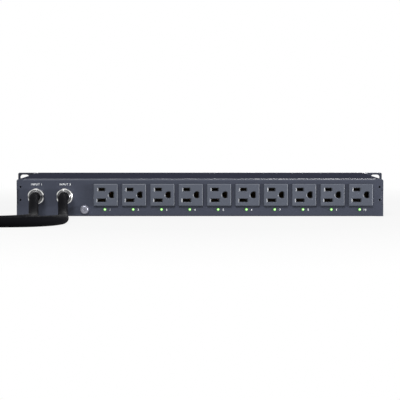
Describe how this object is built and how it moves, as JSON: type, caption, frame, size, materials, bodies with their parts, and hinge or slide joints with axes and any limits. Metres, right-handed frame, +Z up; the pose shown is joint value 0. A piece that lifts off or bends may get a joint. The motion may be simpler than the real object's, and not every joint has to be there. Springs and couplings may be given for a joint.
{
  "type": "rack static transfer switch",
  "caption": "One-unit rack power switch that feeds a row of mains outlets from either of two corded inputs, with rack ears, a ground screw and a front display.",
  "frame": {"origin": "centre of the flat underside of the chassis", "axes": "+X to the right seen from the outlet side, +Z up, the outlet side faces -Y and the display side +Y"},
  "size_m": [0.7318, 0.5391, 0.0437],
  "materials": {
    "chassis_paint": "fine textured dark grey powder coat",
    "cover_paint": "fine textured dark grey powder coat",
    "ear_paint": "fine textured dark grey powder coat",
    "panel_plastic": "fine spark-eroded texture",
    "outlet_plastic": "moulded, slightly glossy",
    "key_plastic": "moulded matte",
    "black_plastic": "moulded matte",
    "cord_jacket": "matte extruded jacket",
    "seal_rubber": "matte",
    "strap": "woven hook and loop strap",
    "nickel": "nickel plated brass, satin",
    "zinc_steel": "zinc plated",
    "black_screw": "black oxide",
    "jack_shell": "tinned sheet",
    "brass": "bare stamped brass",
    "copper": "bare copper",
    "aluminium": "extruded, plain",
    "circuit_board": "green solder mask",
    "window": "smoked clear sheet",
    "display": "display module",
    "light_pipe": "clear",
    "led_green": "green lens",
    "wire_red": "insulation",
    "wire_green": "insulation"
  },
  "bodies": {
    "root": {"base_tray": "chassis_paint", "top_cover": "cover_paint", "front_panel": "panel_plastic", "rack_ear_left": "ear_paint", "rack_ear_right": "ear_paint", "ear_screws": "black_screw", "cover_screws": "black_screw", "display_window": "window", "display_module": "display", "key_switches": "black_plastic", "key_board": "circuit_board", "light_pipes": "light_pipe", "network_jack": "jack_shell", "sensor_jack": "jack_shell", "gland_bodies": "nickel", "gland_nuts": "nickel", "gland_locknuts": "nickel", "gland_seals": "seal_rubber", "cord_tails": "cord_jacket", "ground_screw": "zinc_steel", "ground_washer": "zinc_steel", "outlet_1": "outlet_plastic", "outlet_2": "outlet_plastic", "outlet_3": "outlet_plastic", "outlet_4": "outlet_plastic", "outlet_5": "outlet_plastic", "outlet_6": "outlet_plastic", "outlet_7": "outlet_plastic", "outlet_8": "outlet_plastic", "outlet_9": "outlet_plastic", "outlet_10": "outlet_plastic", "line_contacts": "brass", "neutral_contacts": "brass", "ground_contacts": "brass", "line_bus": "copper", "neutral_bus": "copper", "ground_bus": "copper", "led_board": "circuit_board", "outlet_leds": "led_green", "control_board": "circuit_board", "board_standoffs": "brass", "heatsink": "aluminium", "switch_modules": "black_plastic", "output_links": "copper", "power_supply": "circuit_board", "power_wires": "wire_red", "ground_wires": "wire_green", "cord_a": "cord_jacket", "cord_b": "cord_jacket", "cord_coil_a": "cord_jacket", "cord_coil_b": "cord_jacket", "coil_ties": "strap", "plug_a": "cord_jacket", "plug_b": "cord_jacket", "plug_blades": "brass"},
    "key_1": {"key_1": "key_plastic"},
    "key_2": {"key_2": "key_plastic"},
    "key_3": {"key_3": "key_plastic"},
    "key_4": {"key_4": "key_plastic"}
  },
  "joints": [
    {"name": "key_1_press", "type": "slide", "parent": "root", "child": "key_1", "axis": [0, -1, 0], "range_m": [0, 0.0008], "stiffness_N_per_m": 500, "springref_m": -0.001},
    {"name": "key_2_press", "type": "slide", "parent": "root", "child": "key_2", "axis": [0, -1, 0], "range_m": [0, 0.0008], "stiffness_N_per_m": 500, "springref_m": -0.001},
    {"name": "key_3_press", "type": "slide", "parent": "root", "child": "key_3", "axis": [0, -1, 0], "range_m": [0, 0.0008], "stiffness_N_per_m": 500, "springref_m": -0.001},
    {"name": "key_4_press", "type": "slide", "parent": "root", "child": "key_4", "axis": [0, -1, 0], "range_m": [0, 0.0008], "stiffness_N_per_m": 500, "springref_m": -0.001}
  ]
}
